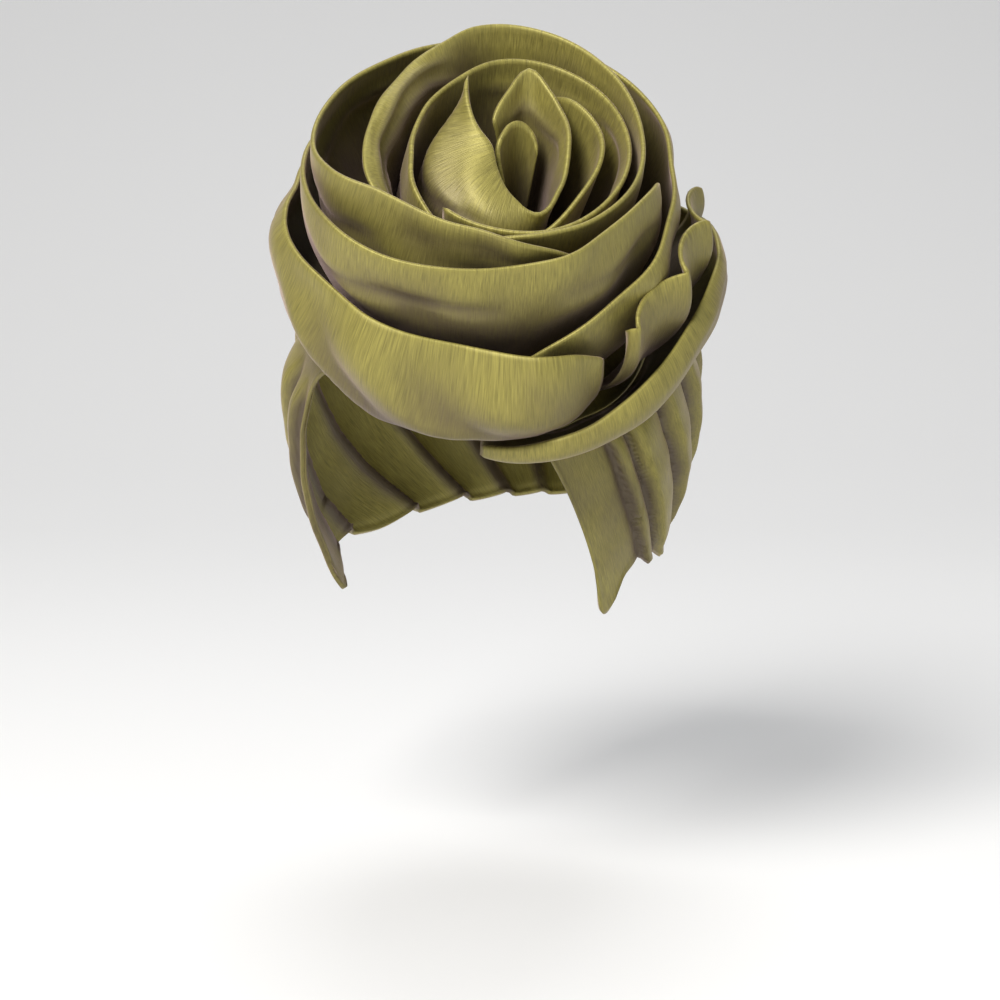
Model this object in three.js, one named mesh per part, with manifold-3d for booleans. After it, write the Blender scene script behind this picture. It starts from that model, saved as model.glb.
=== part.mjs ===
// A tied head wrap with a cloth rose: a pleated cap that covers the head, and on its left front a rose of
// folded satin bands wound round each other and sewn down to the cap.
// Millimetres, +Z up. The wearer faces -Y, so +X is the wearer's left. The origin is the seat of the crown:
// the inside of the cap's top, where the head bears on it.
import * as THREE from "three";
import { mergeVertices } from "three/addons/utils/BufferGeometryUtils.js";
import Module from "manifold-3d";

const wasm = await Module();
wasm.setup();

// Driving dimensions.
const CAP_WALL = 2; // the cap's cloth, lined by its own hem
const BAND_WALL = 1.8; // a rose band: one strip of satin folded double
const SEW_GAP = 0.15; // between a band's foot and the cap that it is sewn to
const STANDING_SHARE = 0.15; // of its wall, that the foot of an upright band clears the cap by besides
const CROWN = CAP_WALL; // height of the cap's outside top above the origin

// The head form, the outside of the cap without its pleats: half an ellipsoid on a skirt that draws in.
const HEAD = {
  halfWidth: 77.5,
  front: 95,
  back: 102,
  dome: 82, // height of the domed top above the widest section
  skirt: 90, // depth over which the skirt draws in by the shares below
  drawTemple: 0.22,
  drawNape: 0.45,
  templeToNape: { from: -20, to: 50 }, // y over which the sides go from the one share to the other
  drawFront: 0.15,
  drawBack: 0.35,
};
const LEAST_DRAW = 0.05; // the share of its width that the skirt keeps however deep it goes
const REACH = 240; // further than any point of the head form is from another
const HALVINGS = 40; // of a ray, to find where it leaves the head form

// The rose's own frame: its foot on the cap and the way it faces.
const DEEP = -130; // a height under the rose's foot that is inside the head form
const SLOPE_STEP = 0.5; // over which the lean of the head form is measured
const LEAST_LEAN = 0.3; // below which a foot on a steep side isn't lifted any more
const ROSE = { foot: new THREE.Vector3(24, -53, -16), azimuth: 30, elevation: 52 };
const NAPE = new THREE.Vector3(0, 70, -165); // the pleats run from the rose's foot to here

// The cap's hem seen from the side: y towards the back, z up. Apex over the brow, ear tab, then the nape.
const HEM = [
  { y: -130, z: -61 },
  { y: -94, z: -62 },
  { y: -82, z: -67 },
  { y: -69, z: -91 },
  { y: -58, z: -111 },
  { y: -47, z: -130 },
  { y: -37, z: -146 },
  { y: -28, z: -161 },
  { y: -22, z: -167 },
  { y: -18, z: -164 },
  { y: -19, z: -155 },
  { y: -14, z: -149 },
  { y: -3, z: -145 },
  { y: 22, z: -144 },
  { y: 45, z: -140 },
  { y: 75, z: -138 },
  { y: 130, z: -138 },
];
const HEM_STEPS = 60;
const CUT_HALF = 160; // the hem's cut goes this far to each side
const CUT_FLOOR = -320; // and this far down

// The pleats, one row each, by the angle of their front edge about the line from rose to nape: 90 is the
// brow, -90 the back of the crown. Each runs back to its end and stands up by its height.
const PLEATS = [
  { from: 37, to: 29, height: 5 },
  { from: 29, to: 8, height: 6.5 },
  { from: 8, to: -14, height: 6.5 },
  { from: -14, to: -36, height: 6 },
  { from: -36, to: -59, height: 5.5 },
  { from: -59, to: -82, height: 5 },
  { from: 143, to: 151, height: 5 },
  { from: 151, to: 172, height: 6.5 },
  { from: 172, to: 194, height: 6.5 },
  { from: 194, to: 216, height: 6 },
  { from: 216, to: 239, height: 5.5 },
  { from: 239, to: 262, height: 5 },
];
const PLEAT_CREST = 0.22; // where a pleat is highest, as a share of its width from its front edge
const PLEAT_COLUMNS = [0, PLEAT_CREST / 2, PLEAT_CREST, 0.6];
const PLEAT_START = { from: 52, to: 64 }; // degrees from the rose's foot over which the pleats rise
const PLEAT_END = { from: 150, to: 174 }; // and over which they run out at the nape
const PLEAT_LINING = 0.75; // how much of a pleat's height the inside of the cloth follows
const BROW_COLUMNS = 8;
const CAP_ROWS = 14;

// The rose's bands, from the heart outwards. A row is one section: phi is its angle round the rose (0 right,
// 90 back, 180 left, 270 front, seen with the rose upright), foot the radius where it is sewn to the cap,
// belly the middle of the band and rim its folded edge, each as a radius and a height above the rose's foot.
const HEART_CENTRE = { right: 9, back: 4 }; // the heart is wound off the rose's own middle

const HEART_CORE = [
  { phi: 40, foot: 4, bellyR: 6, bellyH: 22, rimR: 9, rimH: 41 },
  { phi: 85, foot: 5, bellyR: 8, bellyH: 25, rimR: 15, rimH: 49 },
  { phi: 125, foot: 5, bellyR: 7.5, bellyH: 26, rimR: 10.5, rimH: 50 },
  { phi: 165, foot: 5, bellyR: 7, bellyH: 24, rimR: 9, rimH: 46 },
  { phi: 215, foot: 5, bellyR: 7, bellyH: 20, rimR: 7, rimH: 35 },
];

const HEART_WRAP = [
  { phi: -235, foot: 13, bellyR: 27, bellyH: 36, rimR: 34, rimH: 63 },
  { phi: -205, foot: 16, bellyR: 34, bellyH: 37, rimR: 21, rimH: 58 },
  { phi: -170, foot: 18, bellyR: 40, bellyH: 36, rimR: 13, rimH: 54 },
  { phi: -130, foot: 18, bellyR: 39, bellyH: 34, rimR: 16, rimH: 49 },
  { phi: -100, foot: 17, bellyR: 35, bellyH: 30, rimR: 24, rimH: 45 },
  { phi: -80, foot: 14, bellyR: 27, bellyH: 26, rimR: 29.5, rimH: 42 },
  { phi: -55, foot: 12, bellyR: 17, bellyH: 26, rimR: 23, rimH: 45 },
  { phi: -25, foot: 11, bellyR: 13.5, bellyH: 28, rimR: 19, rimH: 48 },
  { phi: 10, foot: 11, bellyR: 13.5, bellyH: 30, rimR: 19, rimH: 52 },
  { phi: 45, foot: 11, bellyR: 16, bellyH: 31, rimR: 23, rimH: 54 },
  { phi: 65, foot: 11, bellyR: 18, bellyH: 31, rimR: 28, rimH: 57 },
  { phi: 82, foot: 11, bellyR: 19, bellyH: 31, rimR: 34, rimH: 60 },
  { phi: 98, foot: 10, bellyR: 16, bellyH: 30, rimR: 26, rimH: 56 },
  { phi: 128, foot: 9, bellyR: 12, bellyH: 24, rimR: 17, rimH: 50 },
];

const HEART_PETAL = [
  { phi: -85, foot: 20, bellyR: 34, bellyH: 20, rimR: 36, rimH: 36 },
  { phi: -50, foot: 16, bellyR: 26, bellyH: 20, rimR: 31, rimH: 44 },
  { phi: -15, foot: 15, bellyR: 24, bellyH: 22, rimR: 31, rimH: 50 },
  { phi: 20, foot: 15, bellyR: 24, bellyH: 24, rimR: 31.5, rimH: 52 },
  { phi: 48, foot: 15, bellyR: 23.5, bellyH: 24, rimR: 31.5, rimH: 53 },
  { phi: 68, foot: 14, bellyR: 22, bellyH: 24, rimR: 34, rimH: 47 },
];

const INNER_TURN = [
  { phi: -130, foot: 26, bellyR: 33, bellyH: 20, rimR: 36, rimH: 49 },
  { phi: -100, foot: 27, bellyR: 35, bellyH: 20, rimR: 39, rimH: 48 },
  { phi: -65, foot: 28, bellyR: 38, bellyH: 21, rimR: 45, rimH: 49 },
  { phi: -25, foot: 29, bellyR: 41, bellyH: 23, rimR: 49, rimH: 52 },
  { phi: 12, foot: 29, bellyR: 43, bellyH: 24, rimR: 51, rimH: 53 },
  { phi: 50, foot: 29, bellyR: 43, bellyH: 24, rimR: 52, rimH: 54 },
  { phi: 85, foot: 29, bellyR: 42, bellyH: 24, rimR: 49, rimH: 55 },
  { phi: 110, foot: 29, bellyR: 39, bellyH: 24, rimR: 41, rimH: 55 },
  { phi: 145, foot: 29, bellyR: 36, bellyH: 24, rimR: 34, rimH: 55 },
  { phi: 180, foot: 30, bellyR: 37, bellyH: 23, rimR: 34, rimH: 54 },
  { phi: 210, foot: 31, bellyR: 39, bellyH: 21, rimR: 39, rimH: 52 },
  { phi: 235, foot: 32, bellyR: 40, bellyH: 19, rimR: 43, rimH: 46 },
];

const TOP_LOOP = [
  { phi: -125, foot: 38, bellyR: 46, bellyH: 15, rimR: 48, rimH: 40 },
  { phi: -90, foot: 36, bellyR: 43, bellyH: 20, rimR: 47.5, rimH: 51 },
  { phi: -50, foot: 36, bellyR: 46, bellyH: 22, rimR: 51.5, rimH: 53 },
  { phi: -20, foot: 36, bellyR: 49, bellyH: 24, rimR: 54.5, rimH: 55 },
  { phi: 10, foot: 36, bellyR: 51, bellyH: 26, rimR: 56.5, rimH: 57 },
  { phi: 40, foot: 36, bellyR: 51, bellyH: 28, rimR: 58.5, rimH: 60 },
  { phi: 70, foot: 36, bellyR: 51, bellyH: 28, rimR: 62, rimH: 61 },
  { phi: 95, foot: 36, bellyR: 50, bellyH: 30, rimR: 62, rimH: 61 },
  { phi: 112, foot: 36, bellyR: 45, bellyH: 38, rimR: 55, rimH: 61 },
  { phi: 135, foot: 37, bellyR: 42, bellyH: 45, rimR: 50.5, rimH: 60 },
  { phi: 165, foot: 38, bellyR: 41.8, bellyH: 44, rimR: 50, rimH: 58 },
  { phi: 195, foot: 39, bellyR: 44.5, bellyH: 40, rimR: 53.5, rimH: 55 },
  { phi: 222, foot: 40, bellyR: 49, bellyH: 24, rimR: 53, rimH: 44 },
];

const MID_TURN = [
  { phi: -84, foot: 54, bellyR: 68, bellyH: -8, rimR: 70, rimH: 8 },
  { phi: -75, foot: 54, bellyR: 69, bellyH: -4, rimR: 71.5, rimH: 16 },
  { phi: -55, foot: 54, bellyR: 69.5, bellyH: 0, rimR: 72, rimH: 27 },
  { phi: -35, foot: 54, bellyR: 70, bellyH: 6, rimR: 70.5, rimH: 34 },
  { phi: -15, foot: 53, bellyR: 70, bellyH: 10, rimR: 69, rimH: 40 },
  { phi: 15, foot: 50, bellyR: 69.5, bellyH: 13, rimR: 69.5, rimH: 43 },
  { phi: 50, foot: 46, bellyR: 68, bellyH: 15, rimR: 72, rimH: 47 },
  { phi: 90, foot: 44, bellyR: 65, bellyH: 15, rimR: 71, rimH: 47 },
  { phi: 120, foot: 44, bellyR: 64, bellyH: 16, rimR: 68, rimH: 50 },
  { phi: 150, foot: 44, bellyR: 65, bellyH: 17, rimR: 70, rimH: 51 },
  { phi: 178, foot: 44, bellyR: 65, bellyH: 18, rimR: 72, rimH: 54 },
  { phi: 195, foot: 45, bellyR: 64, bellyH: 18, rimR: 67, rimH: 59 },
  { phi: 212, foot: 45, bellyR: 61, bellyH: 18, rimR: 57, rimH: 60 },
  { phi: 240, foot: 45, bellyR: 56, bellyH: 18, rimR: 51, rimH: 58 },
  { phi: 267, foot: 44, bellyR: 53, bellyH: 19, rimR: 53, rimH: 57 },
  { phi: 288, foot: 43, bellyR: 52, bellyH: 18, rimR: 57, rimH: 50 },
  { phi: 305, foot: 43, bellyR: 52, bellyH: 16, rimR: 57, rimH: 38 },
];

const FRONT_BAND = [
  { phi: 132, foot: 52, bellyR: 69.5, bellyH: 0, rimR: 72.5, rimH: 24 },
  { phi: 160, foot: 52, bellyR: 71, bellyH: 6, rimR: 75, rimH: 36 },
  { phi: 186, foot: 52, bellyR: 72, bellyH: 12, rimR: 75.5, rimH: 46 },
  { phi: 205, foot: 52, bellyR: 71.5, bellyH: 13, rimR: 76, rimH: 50 },
  { phi: 228, foot: 52, bellyR: 69.5, bellyH: 14, rimR: 73.5, rimH: 50 },
  { phi: 248, foot: 51, bellyR: 67, bellyH: 15, rimR: 67.5, rimH: 50 },
  { phi: 268, foot: 50, bellyR: 65, bellyH: 16, rimR: 62.5, rimH: 50 },
  { phi: 288, foot: 50, bellyR: 63, bellyH: 17, rimR: 63, rimH: 53 },
  { phi: 305, foot: 49, bellyR: 62, bellyH: 18, rimR: 61, rimH: 54 },
  { phi: 325, foot: 48, bellyR: 62, bellyH: 18, rimR: 60, rimH: 54 },
  { phi: 343, foot: 46, bellyR: 62, bellyH: 18, rimR: 62, rimH: 50 },
  { phi: 356, foot: 44, bellyR: 61, bellyH: 16, rimR: 62, rimH: 38 },
];

const COLLAR = [
  { phi: 112, foot: 58, bellyR: 75, bellyH: -22, rimR: 78, rimH: -6 },
  { phi: 138, foot: 58, bellyR: 80, bellyH: -16, rimR: 80, rimH: 8 },
  { phi: 162, foot: 58, bellyR: 83, bellyH: -9, rimR: 80, rimH: 19 },
  { phi: 182, foot: 58, bellyR: 84, bellyH: -7, rimR: 81, rimH: 25 },
  { phi: 202, foot: 59, bellyR: 84.5, bellyH: -10, rimR: 82.5, rimH: 25 },
  { phi: 220, foot: 60, bellyR: 84.5, bellyH: -15, rimR: 80, rimH: 23 },
  { phi: 238, foot: 60, bellyR: 85, bellyH: -19, rimR: 77, rimH: 21 },
  { phi: 258, foot: 58, bellyR: 86, bellyH: -19, rimR: 76.5, rimH: 20 },
  { phi: 274, foot: 58, bellyR: 86, bellyH: -15, rimR: 78.5, rimH: 19 },
  { phi: 288, foot: 58, bellyR: 84, bellyH: -12, rimR: 80.5, rimH: 17 },
  { phi: 299, foot: 58, bellyR: 80, bellyH: -11, rimR: 79, rimH: 8 },
];

const SIDE_LIP = [
  { phi: 264, foot: 66, bellyR: 76, bellyH: -37, rimR: 77, rimH: -32 },
  { phi: 273, foot: 66.5, bellyR: 83, bellyH: -33, rimR: 84.5, rimH: -25 },
  { phi: 282, foot: 67, bellyR: 89.5, bellyH: -27.5, rimR: 90.5, rimH: -16.5 },
  { phi: 291, foot: 67, bellyR: 91, bellyH: -25.5, rimR: 91, rimH: -13.5 },
  { phi: 300, foot: 66, bellyR: 90.5, bellyH: -24, rimR: 89.5, rimH: -10 },
  { phi: 312, foot: 66, bellyR: 89.5, bellyH: -22, rimR: 87.5, rimH: -6 },
  { phi: 328, foot: 66, bellyR: 89, bellyH: -18, rimR: 86.5, rimH: 0 },
  { phi: 342, foot: 66, bellyR: 90, bellyH: -15, rimR: 87.5, rimH: 5 },
  { phi: 355, foot: 66, bellyR: 91, bellyH: -14, rimR: 89.5, rimH: 5 },
  { phi: 368, foot: 65, bellyR: 88, bellyH: -17, rimR: 88.5, rimH: 0 },
  { phi: 382, foot: 64, bellyR: 83, bellyH: -21, rimR: 84, rimH: -8 },
  { phi: 400, foot: 62, bellyR: 79, bellyH: -25, rimR: 80, rimH: -15 },
  { phi: 430, foot: 61, bellyR: 77, bellyH: -29, rimR: 78, rimH: -21 },
  { phi: 462, foot: 61, bellyR: 76, bellyH: -33, rimR: 77, rimH: -27 },
];

const RUFFLE = [
  { phi: 303, foot: 59.5, bellyR: 78, bellyH: -8, rimR: 78, rimH: 17 },
  { phi: 320, foot: 60, bellyR: 78.5, bellyH: -4, rimR: 78.5, rimH: 24 },
  { phi: 338, foot: 60, bellyR: 79.5, bellyH: -2, rimR: 79, rimH: 29 },
  { phi: 356, foot: 59, bellyR: 80.5, bellyH: -3, rimR: 80, rimH: 25 },
  { phi: 376, foot: 57, bellyR: 79, bellyH: -8, rimR: 80.5, rimH: 13 },
];
const RUFFLE_WAVES = { count: 3.5, depth: 4 };

// Each band: its rows, how many sections it is drawn with along its run and across, its wave if it has one,
// and whether its foot lies along the cap.
const BANDS = {
  rose_heart_core: { rows: HEART_CORE, along: 16, across: 4, centre: HEART_CENTRE },
  rose_heart_wrap: { rows: HEART_WRAP, along: 34, across: 5, centre: HEART_CENTRE },
  rose_heart_petal: { rows: HEART_PETAL, along: 16, across: 5, centre: HEART_CENTRE },
  rose_inner_turn: { rows: INNER_TURN, along: 33, across: 5 },
  rose_top_loop: { rows: TOP_LOOP, along: 36, across: 5 },
  rose_mid_turn: { rows: MID_TURN, along: 42, across: 5 },
  rose_front_band: { rows: FRONT_BAND, along: 32, across: 6 },
  rose_collar: { rows: COLLAR, along: 30, across: 7, lies: true },
  rose_ruffle: { rows: RUFFLE, along: 36, across: 4, waves: RUFFLE_WAVES },
  rose_side_lip: { rows: SIDE_LIP, along: 32, across: 5, lies: true },
};

const satin = (name, colour) =>
  new THREE.MeshStandardMaterial({ name, color: colour, roughness: 0.42, metalness: 0.25 });
const CAP_SATIN = satin("cap_satin", 0x8f8a3e);
const ROSE_SATIN = satin("rose_satin", 0x8a843a);

const rad = THREE.MathUtils.degToRad;

// The value of a column at x, on a smooth curve through the rows: a cubic between each two, with the slope of
// their neighbours.
function smooth(rows, along, column, x) {
  const last = rows.length - 1;
  let i = 0;
  while (i < last - 1 && x > rows[i + 1][along]) i++;
  const slope = (k) => {
    const a = rows[Math.max(k - 1, 0)];
    const b = rows[Math.min(k + 1, last)];
    return (b[column] - a[column]) / (b[along] - a[along]);
  };
  const span = rows[i + 1][along] - rows[i][along];
  const t = (x - rows[i][along]) / span;
  const s = 1 - t;
  return (
    rows[i][column] * (1 + 2 * t) * s * s +
    rows[i + 1][column] * (3 - 2 * t) * t * t +
    span * (slope(i) * t * s * s - slope(i + 1) * t * t * s)
  );
}

// Below 0 inside the head form, above 0 outside it.
function outsideHead(p) {
  const below = CROWN - HEAD.dome - p.z;
  const depth = below / HEAD.skirt;
  const domed = Math.sqrt(Math.max(1 - (below / HEAD.dome) ** 2, 1e-6));
  const draw = (share) => (below > 0 ? Math.max(1 - share * depth * depth, LEAST_DRAW) : domed);
  const behind = THREE.MathUtils.smoothstep(p.y, HEAD.templeToNape.from, HEAD.templeToNape.to);
  const drawSide = THREE.MathUtils.lerp(HEAD.drawTemple, HEAD.drawNape, behind);
  const across = p.x / (HEAD.halfWidth * draw(drawSide));
  const reach = p.y < 0 ? HEAD.front * draw(HEAD.drawFront) : HEAD.back * draw(HEAD.drawBack);
  return p.z > CROWN ? 1 : across * across + (p.y / reach) ** 2 - 1;
}

// How far along a ray, from inside the head form outwards, its surface lies.
function surfaceAlong(from, direction) {
  let inside = 0;
  let outside = REACH;
  const p = new THREE.Vector3();
  for (let i = 0; i < HALVINGS; i++) {
    const middle = (inside + outside) / 2;
    p.copy(from).addScaledVector(direction, middle);
    if (outsideHead(p) > 0) outside = middle;
    else inside = middle;
  }
  return outside;
}

// The rose's axes: out of the head, to its right and to its back.
const azimuth = rad(ROSE.azimuth);
const elevation = rad(ROSE.elevation);
const roseOut = new THREE.Vector3(
  Math.cos(elevation) * Math.sin(azimuth),
  -Math.cos(elevation) * Math.cos(azimuth),
  Math.sin(elevation),
);
const roseRight = new THREE.Vector3(Math.cos(azimuth), Math.sin(azimuth), 0);
const roseBack = new THREE.Vector3().crossVectors(roseOut, roseRight);

// A point of the rose, by its angle, radius and height, about the rose's middle or the heart's.
function rosePoint(phi, radius, height, centre = { right: 0, back: 0 }) {
  return ROSE.foot
    .clone()
    .addScaledVector(roseRight, centre.right + radius * Math.cos(rad(phi)))
    .addScaledVector(roseBack, centre.back + radius * Math.sin(rad(phi)))
    .addScaledVector(roseOut, height);
}

// The height over the rose's foot of a point that clears the head form by a lift.
function seatHeight(phi, radius, lift, centre) {
  const seat = DEEP + surfaceAlong(rosePoint(phi, radius, DEEP, centre), roseOut);
  const p = rosePoint(phi, radius, seat, centre);
  const slope = (axis) => outsideHead(p.clone().addScaledVector(axis, SLOPE_STEP)) - outsideHead(p);
  const [right, back, out] = [roseRight, roseBack, roseOut].map(slope);
  const lean = out / Math.hypot(right, back, out);
  return seat + lift / Math.max(lean, LEAST_LEAN);
}

// How far the middle of a band's wall stands off the head form at its foot: by half its wall where it lies
// along the cap, by less where it stands up from it.
function footLift(lies) {
  return SEW_GAP + (lies ? 0.5 : STANDING_SHARE) * BAND_WALL;
}

// The middle surface of a band: u from its first row to its last, v from foot to rim, on the curve through
// foot, belly and rim.
function bandSurface({ rows, centre, waves, lies }) {
  const first = rows[0].phi;
  const sweep = rows.at(-1).phi - first;
  return (u, v) => {
    const phi = first + sweep * u;
    const at = (column) => smooth(rows, "phi", column, phi);
    const foot = at("foot");
    const seat = seatHeight(phi, foot, footLift(lies), centre);
    const wave = waves ? waves.depth * v * Math.sin(2 * Math.PI * waves.count * u) : 0;
    const [a, b, c] = [(1 - v) * (1 - 2 * v), 4 * v * (1 - v), v * (2 * v - 1)];
    const radius = a * foot + b * at("bellyR") + c * at("rimR") + wave;
    const height = a * seat + b * at("bellyH") + c * at("rimH");
    return rosePoint(phi, radius, height, centre);
  };
}

// A closed cloth wall round a middle surface, with a rounded rim.
function clothWall(surface, along, across, wall) {
  const step = 1e-3;
  const positions = [];
  const ringSize = 2 * (across + 1) + 1;
  const vertex = (p) => positions.push(p.x, p.y, p.z);
  for (let i = 0; i <= along; i++) {
    const u = i / along;
    const skins = [];
    for (let j = 0; j <= across; j++) {
      const v = j / across;
      const p = surface(u, v);
      const du = surface(Math.min(u + step, 1), v).sub(surface(Math.max(u - step, 0), v));
      const dv = surface(u, Math.min(v + step, 1)).sub(surface(u, Math.max(v - step, 0)));
      const normal = du.cross(dv).normalize().multiplyScalar(wall / 2);
      skins.push([p.clone().add(normal), p.clone().sub(normal)]);
    }
    const rise = surface(u, 1).sub(surface(u, 1 - step)).normalize();
    const lip = surface(u, 1).addScaledVector(rise, wall / 2);
    skins.forEach(([outer]) => vertex(outer));
    vertex(lip);
    skins.reverse().forEach(([, inner]) => vertex(inner));
  }
  const triangles = [];
  const quad = (a, b, c, d) => triangles.push(a, b, c, a, c, d);
  for (let i = 0; i < along; i++)
    for (let k = 0; k < ringSize; k++) {
      const next = (k + 1) % ringSize;
      quad(i * ringSize + k, (i + 1) * ringSize + k, (i + 1) * ringSize + next, i * ringSize + next);
    }
  for (const [ring, flip] of [
    [0, false],
    [along * ringSize, true],
  ])
    for (let j = 0; j <= across; j++) {
      const [a, b] = [ring + j, ring + j + 1];
      const [c, d] = [ring + ringSize - 2 - j, ring + ringSize - 1 - j];
      if (flip) triangles.push(...(b === c ? [a, d, c] : [a, d, c, a, c, b]));
      else triangles.push(...(b === c ? [a, c, d] : [a, c, d, a, b, c]));
    }
  const geometry = new THREE.BufferGeometry();
  geometry.setAttribute("position", new THREE.Float32BufferAttribute(positions, 3));
  geometry.setIndex(triangles);
  return geometry;
}

// A closed body from rows of points, each a ring, whose first and last rows draw in to a point.
function wound(positions, count, rows) {
  const triangles = [];
  for (let j = 0; j < rows; j++)
    for (let i = 0; i < count; i++) {
      const next = (i + 1) % count;
      const [a, b] = [j * count + i, j * count + next];
      const [c, d] = [a + count, b + count];
      if (j > 0) triangles.push(a, c, b);
      if (j < rows - 1) triangles.push(b, c, d);
    }
  const geometry = new THREE.BufferGeometry();
  geometry.setAttribute("position", new THREE.Float32BufferAttribute(positions, 3));
  geometry.setIndex(triangles);
  return mergeVertices(geometry, 1e-4);
}

// Geometry to solid and back, for cuts.
function toSolid(geometry) {
  const bare = geometry.clone();
  for (const name of Object.keys(bare.attributes)) if (name !== "position") bare.deleteAttribute(name);
  const merged = mergeVertices(bare, 1e-4);
  return new wasm.Manifold(
    new wasm.Mesh({
      numProp: 3,
      vertProperties: new Float32Array(merged.attributes.position.array),
      triVerts: new Uint32Array(merged.index.array),
    }),
  );
}

function toGeometry(solid) {
  const mesh = solid.getMesh();
  const geometry = new THREE.BufferGeometry();
  geometry.setAttribute("position", new THREE.BufferAttribute(mesh.vertProperties, 3));
  geometry.setIndex(new THREE.BufferAttribute(mesh.triVerts, 1));
  return geometry;
}

// The line that the pleats run round, from the rose's foot to the nape, and the two axes square to it.
const pleatCentre = ROSE.foot.clone().add(NAPE).multiplyScalar(0.5);
const pleatPole = ROSE.foot.clone().sub(NAPE).normalize();
const pleatSide = new THREE.Vector3(1, 0, 0).projectOnPlane(pleatPole).normalize();
const pleatBrow = new THREE.Vector3().crossVectors(pleatSide, pleatPole);

// A pleat's rise at a share of its width: steep at its front edge, then falling away to the next pleat.
function pleatShape(share) {
  if (share < PLEAT_CREST) return Math.sin((share / PLEAT_CREST) * (Math.PI / 2));
  return Math.cos(((share - PLEAT_CREST) / (1 - PLEAT_CREST)) * (Math.PI / 2));
}

// The columns of the cap's grid, by angle round the pleat line, with the height of the pleat there.
function capColumns() {
  const columns = PLEATS.flatMap(({ from, to, height }) =>
    PLEAT_COLUMNS.map((share) => ({ angle: from + (to - from) * share, rise: height * pleatShape(share) })),
  );
  for (let i = 1; i < BROW_COLUMNS; i++) {
    const [near, far] = [PLEATS[0].from, PLEATS[PLEATS.length / 2].from];
    columns.push({ angle: near + ((far - near) * i) / BROW_COLUMNS, rise: 0 });
  }
  columns.push({ angle: PLEATS[PLEATS.length / 2 - 1].to, rise: 0 });
  columns.push({ angle: PLEATS.at(-1).to - 360, rise: 0 });
  const turned = columns.map(({ angle, rise }) => ({ angle: angle > 180 ? angle - 360 : angle, rise }));
  return turned.sort((a, b) => b.angle - a.angle);
}

// A closed head-shaped solid with the pleats on it, drawn in by a depth.
function headSolid(depth, pleatShare) {
  const columns = capColumns();
  const positions = [];
  for (let j = 0; j <= CAP_ROWS; j++) {
    const fall = (Math.PI * j) / CAP_ROWS;
    const degrees = THREE.MathUtils.radToDeg(fall);
    const begun = THREE.MathUtils.smoothstep(degrees, PLEAT_START.from, PLEAT_START.to);
    const fade = begun * (1 - THREE.MathUtils.smoothstep(degrees, PLEAT_END.from, PLEAT_END.to));
    for (const { angle, rise } of columns) {
      const direction = pleatPole
        .clone()
        .multiplyScalar(Math.cos(fall))
        .addScaledVector(pleatSide, Math.sin(fall) * Math.cos(rad(angle)))
        .addScaledVector(pleatBrow, Math.sin(fall) * Math.sin(rad(angle)));
      const reach = surfaceAlong(pleatCentre, direction) - depth + rise * fade * pleatShare;
      const p = pleatCentre.clone().addScaledVector(direction, reach);
      positions.push(p.x, p.y, p.z);
    }
  }
  return toSolid(wound(positions, columns.length, CAP_ROWS));
}

// What the hem leaves out: the face, and all below the nape.
function hemCutter() {
  const curve = new THREE.SplineCurve(HEM.map(({ y, z }) => new THREE.Vector2(y, z)));
  const outline = curve.getSpacedPoints(HEM_STEPS);
  outline.push(new THREE.Vector2(HEM.at(-1).y, CUT_FLOOR), new THREE.Vector2(HEM[0].y, CUT_FLOOR));
  const cut = { depth: 2 * CUT_HALF, bevelEnabled: false };
  const geometry = new THREE.ExtrudeGeometry(new THREE.Shape(outline), cut);
  const sideways = new THREE.Matrix4().makeBasis(
    new THREE.Vector3(0, 1, 0),
    new THREE.Vector3(0, 0, 1),
    new THREE.Vector3(1, 0, 0),
  );
  return toSolid(geometry.applyMatrix4(sideways).translate(-CUT_HALF, 0, 0));
}

function capGeometry() {
  const shell = headSolid(0, 1).subtract(headSolid(CAP_WALL, PLEAT_LINING));
  return toGeometry(shell.subtract(hemCutter()));
}

const headTie = new THREE.Group();

function addMesh(name, geometry, material) {
  geometry.computeVertexNormals();
  const mesh = new THREE.Mesh(geometry, material);
  mesh.name = name;
  headTie.add(mesh);
}

addMesh("cap", capGeometry(), CAP_SATIN);
for (const [name, band] of Object.entries(BANDS)) {
  addMesh(name, clothWall(bandSurface(band), band.along, band.across, BAND_WALL), ROSE_SATIN);
}

export default headTie;
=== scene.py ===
"""A head tie in shot satin: a pleated cap and, on its left front, a rose of folded bands."""

import math

import bmesh
import bpy
import numpy as np
from mathutils import Matrix, Vector


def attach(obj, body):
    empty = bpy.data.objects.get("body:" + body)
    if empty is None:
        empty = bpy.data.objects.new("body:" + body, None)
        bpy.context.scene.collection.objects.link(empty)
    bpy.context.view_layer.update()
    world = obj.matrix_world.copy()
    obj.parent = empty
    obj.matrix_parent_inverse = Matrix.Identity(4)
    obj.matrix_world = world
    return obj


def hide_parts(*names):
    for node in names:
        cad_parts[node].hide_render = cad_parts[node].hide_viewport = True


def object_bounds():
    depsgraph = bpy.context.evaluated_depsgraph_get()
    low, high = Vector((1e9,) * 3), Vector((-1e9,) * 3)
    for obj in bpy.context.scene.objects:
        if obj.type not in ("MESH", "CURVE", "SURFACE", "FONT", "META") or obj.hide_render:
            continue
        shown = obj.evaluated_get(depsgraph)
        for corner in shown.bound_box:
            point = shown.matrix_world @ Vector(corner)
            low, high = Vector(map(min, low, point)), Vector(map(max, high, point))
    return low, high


bl_info = {
    "name": "Satin head tie",
    "version": (1, 0, 0),
    "blender": (4, 5, 0),
    "location": "View3D > Sidebar > Head tie",
    "description": "Dresses a head tie's solids in pleated and folded shot satin",
    "category": "Add Mesh",
}

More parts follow.
